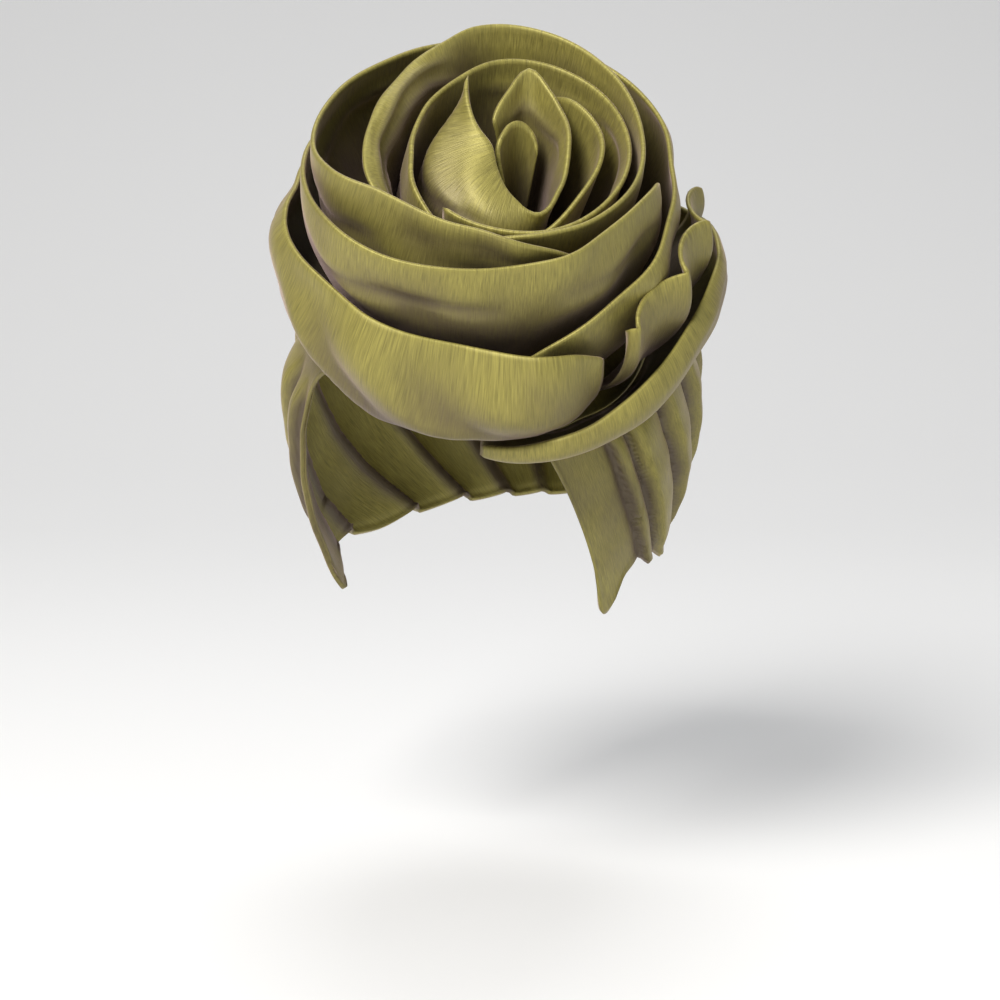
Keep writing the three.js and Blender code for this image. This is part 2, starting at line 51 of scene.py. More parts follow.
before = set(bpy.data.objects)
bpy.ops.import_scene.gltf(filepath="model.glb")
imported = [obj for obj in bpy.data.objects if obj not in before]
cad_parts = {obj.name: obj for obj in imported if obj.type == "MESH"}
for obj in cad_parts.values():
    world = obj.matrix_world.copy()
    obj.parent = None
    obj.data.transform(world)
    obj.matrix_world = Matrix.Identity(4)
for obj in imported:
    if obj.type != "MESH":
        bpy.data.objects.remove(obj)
CAD_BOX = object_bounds()
MM = 0.001

# The head form, in millimetres: the outside of the cap without its pleats.
CROWN = 2.0
HALF_WIDTH, FRONT, BACK = 77.5, 95.0, 102.0
DOME, SKIRT = 82.0, 90.0
DRAW_TEMPLE, DRAW_NAPE, DRAW_FRONT, DRAW_BACK = 0.22, 0.45, 0.15, 0.35
TEMPLE_TO_NAPE = (-20.0, 50.0)
HEAD_CENTRE = np.array([0.0, 0.0, -80.0])
LEAST_DRAW = 0.05
# How far a ray is followed to find the head form: from the head's middle, and from deep under the rose's foot.
HEAD_REACH, SEAT_REACH = 240.0, 220.0
DEEP = -130.0
RAY_HALVINGS, HEM_HALVINGS = 32, 30

# The rose's foot on the cap, the way it faces, and where the pleats that start under it end.
ROSE_FOOT = np.array([24.0, -53.0, -16.0])
ROSE_AZIMUTH, ROSE_ELEVATION = math.radians(30), math.radians(52)
NAPE = np.array([0.0, 70.0, -165.0])
HEART_CENTRE = (9.0, 4.0)

# The cap's hem from the side, brow to nape: y and z.
HEM = (
    (-130, -61),
    (-94, -62),
    (-82, -67),
    (-69, -91),
    (-58, -111),
    (-47, -130),
    (-37, -146),
    (-28, -161),
    (-22, -166),
    (-18, -162),
    (-17, -154),
    (-12, -148.5),
    (-3, -145),
    (22, -144),
    (45, -140),
    (75, -138),
    (130, -138),
)

# The pleats: the angle of the front edge round the line from rose to nape, the angle where it ends, and its
# height.
PLEATS = (
    (37, 29, 5.0),
    (29, 8, 6.5),
    (8, -14, 6.5),
    (-14, -36, 6.0),
    (-36, -59, 5.5),
    (-59, -82, 5.0),
    (143, 151, 5.0),
    (151, 172, 6.5),
    (172, 194, 6.5),
    (194, 216, 6.0),
    (216, 239, 5.5),
    (239, 262, 5.0),
)
PLEAT_CREST = 0.16
PLEAT_START = (52.0, 64.0)
PLEAT_END = (150.0, 174.0)
# Millimetres of cloth for a degree round the pleats and for a degree along them.
ROUND_STEP, LENGTH_STEP = 1.45, 1.65
VALLEY_WIDTH, VALLEY_DEPTH = 2.2, 0.9
CAP_RIPPLE, HEM_WIDTH = 0.45, 3.4
CAP_GRID = (420, 110)
# The elevations, in degrees from the head's middle, that the hem lies between.
HEM_SEARCH = (-62, 40)

# The rose's bands. A row: angle round the rose, foot radius, belly radius and height, rim radius and height.
BANDS = {
    "rose_heart_core": (
        (40, 4, 6, 22, 9, 41),
        (85, 5, 8, 25, 15, 49),
        (125, 5, 7.5, 26, 10.5, 50),
        (165, 5, 7, 24, 9, 46),
        (215, 5, 7, 20, 7, 35),
    ),
    "rose_heart_wrap": (
        (-235, 13, 27, 36, 34, 63),
        (-205, 16, 34, 37, 21, 58),
        (-170, 18, 40, 36, 13, 54),
        (-130, 18, 39, 34, 16, 49),
        (-100, 17, 35, 30, 24, 45),
        (-80, 14, 27, 26, 29.5, 42),
        (-55, 12, 17, 26, 23, 45),
        (-25, 11, 13.5, 28, 19, 48),
        (10, 11, 13.5, 30, 19, 52),
        (45, 11, 16, 31, 23, 54),
        (65, 11, 18, 31, 28, 57),
        (82, 11, 19, 31, 34, 60),
        (98, 10, 16, 30, 26, 56),
        (128, 9, 12, 24, 17, 50),
    ),
    "rose_heart_petal": (
        (-85, 20, 34, 20, 36, 36),
        (-50, 16, 26, 20, 31, 44),
        (-15, 15, 24, 22, 31, 50),
        (20, 15, 24, 24, 31.5, 52),
        (48, 15, 23.5, 24, 31.5, 53),
        (68, 14, 22, 24, 34, 47),
    ),
    "rose_inner_turn": (
        (-130, 26, 33, 20, 36, 49),
        (-100, 27, 35, 20, 39, 48),
        (-65, 28, 38, 21, 45, 49),
        (-25, 29, 41, 23, 49, 52),
        (12, 29, 43, 24, 51, 53),
        (50, 29, 43, 24, 52, 54),
        (85, 29, 42, 24, 49, 55),
        (110, 29, 39, 24, 41, 55),
        (145, 29, 36, 24, 34, 55),
        (180, 30, 37, 23, 34, 54),
        (210, 31, 39, 21, 39, 52),
        (235, 32, 40, 19, 43, 46),
    ),
    "rose_top_loop": (
        (-125, 38, 46, 15, 48, 40),
        (-90, 36, 43, 20, 47.5, 51),
        (-50, 36, 46, 22, 51.5, 53),
        (-20, 36, 49, 24, 54.5, 55),
        (10, 36, 51, 26, 56.5, 57),
        (40, 36, 51, 28, 58.5, 60),
        (70, 36, 51, 28, 62, 61),
        (95, 36, 50, 30, 62, 61),
        (112, 36, 45, 38, 55, 61),
        (135, 37, 42, 45, 50.5, 60),
        (165, 38, 41.8, 44, 50, 58),
        (195, 39, 44.5, 40, 53.5, 55),
        (222, 40, 49, 24, 53, 44),
    ),
    "rose_mid_turn": (
        (-84, 54, 68, -8, 70, 8),
        (-75, 54, 69, -4, 71.5, 16),
        (-55, 54, 69.5, 0, 72, 27),
        (-35, 54, 70, 6, 70.5, 34),
        (-15, 53, 70, 10, 69, 40),
        (15, 50, 69.5, 13, 69.5, 43),
        (50, 46, 68, 15, 72, 47),
        (90, 44, 65, 15, 71, 47),
        (120, 44, 64, 16, 68, 50),
        (150, 44, 65, 17, 70, 51),
        (178, 44, 65, 18, 72, 54),
        (195, 45, 64, 18, 67, 59),
        (212, 45, 61, 18, 57, 60),
        (240, 45, 56, 18, 51, 58),
        (267, 44, 53, 19, 53, 57),
        (288, 43, 52, 18, 57, 50),
        (305, 43, 52, 16, 57, 38),
    ),
    "rose_front_band": (
        (132, 52, 69.5, 0, 72.5, 24),
        (160, 52, 71, 6, 75, 36),
        (186, 52, 72, 12, 75.5, 46),
        (205, 52, 71.5, 13, 76, 50),
        (228, 52, 69.5, 14, 73.5, 50),
        (248, 51, 67, 15, 67.5, 50),
        (268, 50, 65, 16, 62.5, 50),
        (288, 50, 63, 17, 63, 53),
        (305, 49, 62, 18, 61, 54),
        (325, 48, 62, 18, 60, 54),
        (343, 46, 62, 18, 62, 50),
        (356, 44, 61, 16, 62, 38),
    ),
    "rose_collar": (
        (112, 58, 75, -22, 78, -6),
        (138, 58, 80, -16, 80, 8),
        (162, 58, 83, -9, 80, 19),
        (182, 58, 84, -7, 81, 25),
        (202, 59, 84.5, -10, 82.5, 25),
        (220, 60, 84.5, -15, 80, 23),
        (238, 60, 85, -19, 77, 21),
        (258, 58, 86, -19, 76.5, 20),
        (274, 58, 86, -15, 78.5, 19),
        (288, 58, 84, -12, 80.5, 17),
        (299, 58, 80, -11, 79, 8),
    ),
    "rose_ruffle": (
        (303, 59.5, 78, -8, 78, 17),
        (320, 60, 78.5, -4, 78.5, 24),
        (338, 60, 79.5, -2, 79, 29),
        (356, 59, 80.5, -3, 80, 25),
        (376, 57, 79, -8, 80.5, 13),
    ),
    "rose_side_lip": (
        (264, 66, 76, -37, 77, -32),
        (273, 66.5, 83, -33, 84.5, -25),
        (282, 67, 89.5, -27.5, 90.5, -16.5),
        (291, 67, 91, -25.5, 91, -13.5),
        (300, 66, 90.5, -24, 89.5, -10),
        (312, 66, 89.5, -22, 87.5, -6),
        (328, 66, 89, -18, 86.5, 0),
        (342, 66, 90, -15, 87.5, 5),
        (355, 66, 91, -14, 89.5, 5),
        (368, 65, 88, -17, 88.5, 0),
        (382, 64, 83, -21, 84, -8),
        (400, 62, 79, -25, 80, -15),
        (430, 61, 77, -29, 78, -21),
        (462, 61, 76, -33, 77, -27),
    ),
}
HEART_BANDS = ("rose_heart_core", "rose_heart_wrap", "rose_heart_petal")
TURN_BANDS = ("rose_inner_turn", "rose_top_loop", "rose_mid_turn", "rose_front_band")
OUTER_BANDS = ("rose_collar", "rose_ruffle", "rose_side_lip")
RUFFLE_WAVES, RUFFLE_DEPTH = 3.5, 4
RUFFLE_LEAN = 3.0
# How deep each band's own creases run, in millimetres.
CREASES = {"rose_collar": 2.4, "rose_front_band": 1.5, "rose_mid_turn": 1.5, "rose_top_loop": 1.1}
PLAIN_CREASE = 0.7
# Folds that run along a band: the angles they run between, their share of the band's height, and their depth.
LONG_FOLDS = {
    "rose_top_loop": ((96, 224, 0.62, 2.0), (104, 224, 0.80, 1.6)),
    "rose_inner_turn": ((-75, 105, 0.84, 1.3), (150, 240, 0.72, 1.2)),
    "rose_mid_turn": ((95, 225, 0.78, 1.6), (215, 300, 0.86, 1.0)),
    "rose_heart_wrap": ((-10, 110, 0.80, 1.3), (-225, -110, 0.62, 1.2)),
    "rose_front_band": ((195, 275, 0.72, 1.5), (285, 350, 0.80, 1.1)),
    "rose_side_lip": ((300, 410, 0.72, 1.2),),
}
FOLD_WIDTH, FOLD_FADE = 2.6, 22
# How much painted shade a fold's depth puts into the cloth's colour, and the height of band over which the
# painted shade goes from light to dark.
GROOVE_SHADE, RIDGE_SHADE, DARK_HEIGHT = 0.22, 0.07, 50
# A band's foot over the head form, the share of its grid that turns over the rim, how far its ends taper, the
# size of its faces, and the share of its height where its run is measured.
FOOT_LIFT, RIM_SHARE, TAPER, MESH_STEP, RUN_SHARE = 0.6, 0.06, 3, 2.2, 0.6
# Drag folds that cross a band: the angle and share of the height at one end and at the other, then the height
# of the fold and half its width.
DRAG_FOLDS = {
    "rose_collar": (
        (168, 0.85, 205, 0.40, -2.2, 5),
        (184, 0.96, 230, 0.45, 2.8, 6),
        (204, 0.92, 246, 0.38, -2.6, 5),
        (222, 0.96, 262, 0.42, 3.0, 6),
        (240, 0.90, 278, 0.38, -2.4, 5),
        (256, 0.94, 292, 0.48, 2.6, 6),
    ),
    "rose_front_band": (
        (190, 0.95, 236, 0.55, 2.0, 6),
        (215, 0.92, 262, 0.50, -1.8, 6),
        (276, 0.55, 328, 0.86, 1.8, 6),
    ),
    "rose_mid_turn": (
        (198, 0.95, 246, 0.60, 2.0, 6),
        (222, 0.92, 280, 0.62, -1.6, 5),
        (120, 0.70, 190, 0.92, 1.8, 6),
    ),
    "rose_heart_wrap": ((-225, 0.90, -150, 0.55, 1.6, 4), (-190, 0.92, -105, 0.62, -1.4, 4)),
    "rose_inner_turn": ((-40, 0.62, 60, 0.90, 1.3, 4),),
    "rose_side_lip": ((296, 0.55, 350, 0.85, 1.2, 4),),
}

# The photograph's view: the crown is at this pixel of the square frame.
VIEW_AZIMUTH, VIEW_ELEVATION = math.radians(25), math.radians(10)
FRAME_PIXELS = 1000
CROWN_PIXEL = (494, 195)
PIXEL_SIZE, VIEW_DISTANCE, SENSOR = 0.41 * MM, 1.5, 36.0
FLOOR_DROP = 0.12


class ClothSettings(bpy.types.PropertyGroup):
    """Sizes of the cloth."""

    cap_wall: bpy.props.FloatProperty(
        name="Cap wall", description="Thickness of the cap's cloth", default=2.0 * MM, unit="LENGTH"
    )
    band_wall: bpy.props.FloatProperty(
        name="Band wall", description="Thickness of a folded band", default=1.7 * MM, unit="LENGTH"
    )
    rim_radius: bpy.props.FloatProperty(
        name="Rim radius", description="Radius of a band's folded edge", default=1.0 * MM, unit="LENGTH"
    )
    hem_radius: bpy.props.FloatProperty(
        name="Hem roll", description="How far the rolled hem stands proud", default=0.9 * MM, unit="LENGTH"
    )


class SatinSettings(bpy.types.PropertyGroup):
    """Colours of the satin."""

    gold: bpy.props.FloatVectorProperty(
        name="Gold", description="Lit threads", subtype="COLOR", default=(0.36, 0.315, 0.072)
    )
    olive: bpy.props.FloatVectorProperty(
        name="Olive", description="Threads between", subtype="COLOR", default=(0.18, 0.155, 0.035)
    )
    # Mauve: the shot cloth's darker tone in random blooms, and also the colour of the painted shade deep in
    # the folds and the pleat valleys.
    mauve: bpy.props.FloatVectorProperty(
        name="Mauve", description="Cross threads", subtype="COLOR", default=(0.085, 0.06, 0.043)
    )


def unit(v):
    """Each vector of an array at length one."""
    return v / np.linalg.norm(v, axis=-1, keepdims=True)


def smoothstep(x, low, high):
    """0 below low, 1 above high, and a smooth rise between."""
    t = np.clip((x - low) / (high - low), 0, 1)
    return t * t * (3 - 2 * t)


def smooth(xs, ys, x):
    """A cubic curve through (xs, ys) at x, with each row's slope taken from its neighbours."""
    xs, ys = np.asarray(xs, float), np.asarray(ys, float)
    i = np.clip(np.searchsorted(xs, x) - 1, 0, len(xs) - 2)
    before, after = np.maximum(np.arange(len(xs)) - 1, 0), np.minimum(np.arange(len(xs)) + 1, len(xs) - 1)
    slopes = (ys[after] - ys[before]) / (xs[after] - xs[before])
    span = xs[i + 1] - xs[i]
    t = (x - xs[i]) / span
    s = 1 - t
    ends = ys[i] * (1 + 2 * t) * s * s + ys[i + 1] * (3 - 2 * t) * t * t
    return ends + span * (slopes[i] * t * s * s - slopes[i + 1] * t * t * s)


def outside_head(p):
    """Below 0 inside the head form, above 0 outside it."""
    x, y, z = p[..., 0], p[..., 1], p[..., 2]
    below = CROWN - DOME - z
    depth = (below / SKIRT) ** 2
    dome = np.sqrt(np.maximum(1 - (below / DOME) ** 2, 1e-6))

    def draw(share):
        return np.where(below > 0, np.maximum(1 - share * depth, LEAST_DRAW), dome)

    side = DRAW_TEMPLE + (DRAW_NAPE - DRAW_TEMPLE) * smoothstep(y, *TEMPLE_TO_NAPE)
    reach = np.where(y < 0, FRONT * draw(DRAW_FRONT), BACK * draw(DRAW_BACK))
    value = (x / (HALF_WIDTH * draw(side))) ** 2 + (y / reach) ** 2 - 1
    return np.where(z > CROWN, 1.0, value)


def surface_along(start, direction, furthest):
    """How far from start, inside the head form, its surface lies along each direction."""
    inside = np.zeros(direction.shape[:-1])
    outside = np.full(direction.shape[:-1], furthest)
    for _ in range(RAY_HALVINGS):
        middle = (inside + outside) / 2
        out = outside_head(start + direction * middle[..., None]) > 0
        outside = np.where(out, middle, outside)
        inside = np.where(out, inside, middle)
    return outside


ROSE_OUT = np.array(
    [
        math.cos(ROSE_ELEVATION) * math.sin(ROSE_AZIMUTH),
        -math.cos(ROSE_ELEVATION) * math.cos(ROSE_AZIMUTH),
        math.sin(ROSE_ELEVATION),
    ]
)
ROSE_RIGHT = np.array([math.cos(ROSE_AZIMUTH), math.sin(ROSE_AZIMUTH), 0.0])
ROSE_BACK = np.cross(ROSE_OUT, ROSE_RIGHT)

PLEAT_CENTRE = (ROSE_FOOT + NAPE) / 2
PLEAT_POLE = unit(ROSE_FOOT - NAPE)
PLEAT_SIDE = unit(np.array([1.0, 0.0, 0.0]) - PLEAT_POLE[0] * PLEAT_POLE)
PLEAT_BROW = np.cross(PLEAT_SIDE, PLEAT_POLE)


def rose_point(phi, radius, height, centre=(0.0, 0.0)):
    """Points of the rose by angle, radius and height."""
    right = centre[0] + radius * np.cos(np.radians(phi))
    back = centre[1] + radius * np.sin(np.radians(phi))
    flat = right[..., None] * ROSE_RIGHT + back[..., None] * ROSE_BACK
    return ROSE_FOOT + flat + height[..., None] * ROSE_OUT


def creases(s, t, seed):
    """Soft drag folds over a cloth, about one high: a few long waves that cross it at a slant."""
    chance = np.random.RandomState(seed)
    total = np.zeros_like(s)
    for wavelength in (66, 45, 33, 24):
        angle = math.radians(chance.uniform(-55, 55))
        phase = chance.uniform(0, 2 * math.pi)
        bend = chance.uniform(0, 2 * math.pi)
        along = s * math.cos(angle) + t * math.sin(angle) + 5 * np.sin(t / 17 + bend)
        swell = 0.5 + 0.5 * np.sin(s / (2.3 * wavelength) + bend)
        total += swell * np.sin(2 * math.pi * along / wavelength + phase) * wavelength / 66
    return total


def grid_mesh(name, along, across, place, girth=1e9):
    """A grid of cloth, with each point, its place on the cloth and its painted shade, darker deep in the
    folds, as place says.

    The cloth comes round to its own start after its girth.
    """
    bm = bmesh.new()
    bmesh.ops.create_grid(bm, x_segments=along, y_segments=across, size=1)
    flat = np.array([v.co for v in bm.verts])
    u, v = (flat[:, 0] + 1) / 2, (flat[:, 1] + 1) / 2
    points, cloth, depth = place(u, v)
    for vertex, point in zip(bm.verts, points * MM):
        vertex.co = point
    weave = bm.loops.layers.uv.new("weave")
    fold = bm.verts.layers.float.new("painted_fold_shade")
    for vertex, value in zip(bm.verts, depth):
        vertex[fold] = value
    bm.verts.index_update()
    for face in bm.faces:
        face.smooth = True
        start = cloth[face.loops[0].vert.index, 0]
        for loop in face.loops:
            run, height = cloth[loop.vert.index]
            run -= girth * round((run - start) / girth)
            loop[weave].uv = (run * MM, height * MM)
    bmesh.ops.remove_doubles(bm, verts=bm.verts, dist=1e-6)
    bmesh.ops.recalc_face_normals(bm, faces=bm.faces)
    mesh = bpy.data.meshes.new(name)
    bm.to_mesh(mesh)
    bm.free()
    piece = bpy.data.objects.new(name, mesh)
    bpy.context.scene.collection.objects.link(piece)
    return piece


def place_piece(piece, node, material):
    """The piece rides on the part, stands for its node and takes its finish."""
    piece.data.materials.append(material)
    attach(piece, "root")
    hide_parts(node)


def band_middle(name):
    """The middle surface of a band, by u along it and v from foot to rim, with its run and its height."""
    rows = np.array(BANDS[name], float)
    centre = HEART_CENTRE if name in HEART_BANDS else (0.0, 0.0)
    waves = RUFFLE_WAVES if name == "rose_ruffle" else 0

    def middle(u, v):
        phi = rows[0, 0] + (rows[-1, 0] - rows[0, 0]) * u
        foot, belly_r, belly_h, rim_r, rim_h = (smooth(rows[:, 0], rows[:, k], phi) for k in range(1, 6))
        low = np.full_like(u, DEEP)
        start = rose_point(phi, foot, low, centre)
        seat = low + surface_along(start, np.broadcast_to(ROSE_OUT, start.shape), SEAT_REACH)
        wave = RUFFLE_DEPTH * v * np.sin(2 * math.pi * waves * u)
        if waves:
            phi = phi + RUFFLE_LEAN * v * np.cos(2 * math.pi * waves * u)
        a, b, c = (1 - v) * (1 - 2 * v), 4 * v * (1 - v), v * (2 * v - 1)
        radius = a * foot + b * belly_r + c * rim_r + wave
        return rose_point(phi, radius, a * (seat + FOOT_LIFT) + b * belly_h + c * rim_h, centre)

    def length(u, v):
        return np.linalg.norm(np.diff(middle(u, v), axis=0), axis=1).sum()

    line = np.linspace(0, 1, 120)
    run = length(line, np.full_like(line, RUN_SHARE))
    heights = [length(np.full_like(line, x), line) for x in line[4::8]]
    return middle, run, float(np.mean(heights))


def long_grooves(name, phi, v, height):
    """The depth of the folds that run along a band."""
    groove = np.zeros_like(phi)
    for low, high, share, fall in LONG_FOLDS.get(name, ()):
        window = smoothstep(phi, low, low + FOLD_FADE) * (1 - smoothstep(phi, high - FOLD_FADE, high))
        wander = share + 0.05 * np.sin(phi / 19 + fall)
        groove += fall * window * np.exp(-(((v - wander) * height / FOLD_WIDTH) ** 2))
    return groove


def drag_ridges(name, phi, t, run, height):
    """The height of the drag folds that cross a band, each along a line on the cloth."""
    sweep = BANDS[name][-1][0] - BANDS[name][0][0]
    ridge = np.zeros_like(phi)
    for phi_a, v_a, phi_b, v_b, rise, width in DRAG_FOLDS.get(name, ()):
        across = (phi_b - phi_a) / sweep * run
        down = (v_b - v_a) * height
        length = math.hypot(across, down)
        from_s = (phi - phi_a) / (phi_b - phi_a) * across
        from_t = t - v_a * height
        share = np.clip((from_s * across + from_t * down) / length**2, 0, 1)
        off = (from_s * down - from_t * across) / length
        ridge += rise * np.exp(-((off / width) ** 2)) * np.sin(math.pi * share)
    return ridge


def folded_band(name, cloth):
    """A strip of satin folded double and sewn down by its open edge: two skins that meet in a rounded rim."""
    middle, run, height = band_middle(name)
    half, rim = cloth.band_wall / 2 / MM, cloth.rim_radius / MM
    seed = sum(map(ord, name))
    deep = CREASES.get(name, PLAIN_CREASE)
    step = 1e-3

    def place(u, w):
        side = np.where(w < 0.5, 1.0, -1.0)
        spread = np.abs(w - 0.5) * 2
        v = np.clip((1 - spread) / (1 - RIM_SHARE), 0, 1)
        turn = np.clip(1 - spread / RIM_SHARE, 0, 1) * math.pi / 2
        p = middle(u, v)
        du = middle(np.minimum(u + step, 1), v) - middle(np.maximum(u - step, 0), v)
        dv = middle(u, np.minimum(v + step, 1)) - middle(u, np.maximum(v - step, 0))
        normal, rise = unit(np.cross(du, dv)), unit(dv)
        s, t = u * run, v * height
        ends = np.sqrt(np.clip(np.minimum(u, 1 - u) * run / TAPER, 0, 1))
        near_rim = np.exp(-(((1 - v) * height / TAPER) ** 2))
        wall = (half + (rim - half) * near_rim) * ends * np.clip(v * height / TAPER, 0, 1)
        crease = deep * creases(s, t, seed) * np.clip(v * 1.6, 0, 1) * (1 - 0.45 * near_rim)
        phi = BANDS[name][0][0] + (BANDS[name][-1][0] - BANDS[name][0][0]) * u
        groove = long_grooves(name, phi, v, height)
        ridge = drag_ridges(name, phi, t, run, height)
        offset = crease - groove + ridge + side * wall * np.cos(turn)
        p = p + normal * offset[..., None] + rise * (wall * np.sin(turn))[..., None]
        cloth_place = np.stack([s, np.where(side > 0, t, 2 * height - t)], axis=-1)
        # Painted shade in the colour: darker towards the band's foot and in its grooves, lighter on its drag
        # ridges.
        depth = (1 - v) * height / DARK_HEIGHT + groove * GROOVE_SHADE - ridge * RIDGE_SHADE
        return p, cloth_place, np.clip(depth, 0, 1)

    along, across = max(int(run / MESH_STEP), 60), 2 * max(int(height / MESH_STEP), 16)
    piece = grid_mesh(name + "_satin", along, across, place)
    place_piece(piece, name, satin_material("rose_satin"))
    height * MM
    run * MM
    return piece


def hem_height(y):
    """The hem's height at a place between brow and nape."""
    return smooth([p[0] for p in HEM], [p[1] for p in HEM], y)


def pleat_rise(points):
    """How far the pleats stand up at points of the head form, how near a valley each is, and where it lies."""
    away = points - PLEAT_CENTRE
    angle = np.degrees(np.arctan2(away @ PLEAT_BROW, away @ PLEAT_SIDE))
    fall = np.degrees(np.arccos(np.clip(unit(away) @ PLEAT_POLE, -1, 1)))
    rise = np.zeros(len(points))
    valley = np.zeros(len(points))
    for start, end, height in PLEATS:
        width = abs(end - start)
        share = (((angle - start) / (end - start) * width + 180) % 360 - 180) / width
        climb = np.sin(np.clip(share / PLEAT_CREST, 0, 1) * math.pi / 2)
        drop = np.cos(np.clip((share - PLEAT_CREST) / (1 - PLEAT_CREST), 0, 1) * math.pi / 2)
        rise += np.where((share >= 0) & (share <= 1), height * np.where(share < PLEAT_CREST, climb, drop), 0)
        valley = np.maximum(valley, np.exp(-((share * width / VALLEY_WIDTH) ** 2)))
    fade = smoothstep(fall, *PLEAT_START) * (1 - smoothstep(fall, *PLEAT_END))
    return rise * fade, valley * fade, (angle + 450) % 360, fall


def pleated_cap(cloth):
    """The cap, from its rolled hem up to the crown, with the pleats drawn from the rose to the nape."""
    roll = cloth.hem_radius / MM

    def directions(around, up):
        flat = np.cos(up)
        return np.stack([np.sin(around) * flat, -np.cos(around) * flat, np.sin(up)], axis=-1)

    def hem_angle(around):
        low, high = (np.full_like(around, math.radians(limit)) for limit in HEM_SEARCH)
        for _ in range(HEM_HALVINGS):
            middle = (low + high) / 2
            aim = directions(around, middle)
            p = HEAD_CENTRE + aim * surface_along(HEAD_CENTRE, aim, HEAD_REACH)[..., None]
            above = p[:, 2] > hem_height(p[:, 1])
            high = np.where(above, middle, high)
            low = np.where(above, low, middle)
        return high

    def place(u, v):
        around = 2 * math.pi * (u - 0.5) + math.pi
        start = hem_angle(around)
        up = start + (math.radians(89.9) - start) * v
        aim = directions(around, up)
        reach = surface_along(HEAD_CENTRE, aim, HEAD_REACH)
        p = HEAD_CENTRE + aim * reach[..., None]
        rise, valley, angle, fall = pleat_rise(p)
        from_hem = (up - start) * reach
        bead = roll * np.sin(np.clip(from_hem / HEM_WIDTH, 0, 1) * math.pi)
        ripple = CAP_RIPPLE * creases(fall * 1.6, angle * 1.2, 7)
        p = p + aim * (rise + bead + ripple - VALLEY_DEPTH * valley)[..., None]
        cloth_place = np.stack([angle * ROUND_STEP, fall * LENGTH_STEP], axis=-1)
        # Painted shade in the colour: darker in the pleats' valleys and where the pleats stand low.
        return p, cloth_place, np.clip(0.3 * np.clip(1 - rise / 3.5, 0, 1) + 0.7 * valley, 0, 1)

    piece = grid_mesh("cap_satin", *CAP_GRID, place, 360 * ROUND_STEP)
    wall = piece.modifiers.new("Cloth wall", "SOLIDIFY")
    wall.thickness = cloth.cap_wall
    wall.offset = -1
    place_piece(piece, "cap", satin_material("cap_satin"))
    return piece


class Shade:
    """A socket whose arithmetic adds Math nodes."""

    def __init__(self, tree, socket):
        self.tree = tree
        self.socket = socket

    def node(self, kind, settings=None, **inputs):
        """A node with its settings made, then its sockets filled, by name."""
        made = self.tree.nodes.new(kind)
        for key, value in (settings or {}).items():
            setattr(made, key, value)
        for key, value in inputs.items():
            self.fill(made.inputs[key.replace("_", " ")], value)
        return made

    def fill(self, socket, value):
        """A link from another shade, or a plain value."""
        if isinstance(value, Shade):
            self.tree.links.new(value.socket, socket)
        else:
            socket.default_value = value

    def out(self, node, name):
        """A node's output as a shade."""
        return Shade(self.tree, node.outputs[name])

    def maths(self, operation, a, b):
        """A Math node of two values."""
        made = self.node("ShaderNodeMath", {"operation": operation, "use_clamp": False})
        self.fill(made.inputs[0], a)
        self.fill(made.inputs[1], b)
        return self.out(made, "Value")

    def __add__(self, other):
        return self.maths("ADD", self, other)

    def __radd__(self, other):
        return self.maths("ADD", other, self)

    def __sub__(self, other):
        return self.maths("SUBTRACT", self, other)

    def __rsub__(self, other):
        return self.maths("SUBTRACT", other, self)

    def __mul__(self, other):
        return self.maths("MULTIPLY", self, other)

    def __rmul__(self, other):
        return self.maths("MULTIPLY", other, self)

    def between(self, low, high):
        """0 at low, 1 at high, and held there beyond."""
        made = self.node("ShaderNodeMapRange", {"clamp": True}, From_Min=low, From_Max=high)
        self.fill(made.inputs["Value"], self)
        return self.out(made, "Result")

    def mix(self, a, b):
        """The colour a where this is 0 and b where it is 1."""
        made = self.node("ShaderNodeMix", {"data_type": "RGBA"})
        self.fill(made.inputs["Factor"], self)
        self.fill(made.inputs[6], a)
        self.fill(made.inputs[7], b)
        return Shade(self.tree, made.outputs[2])


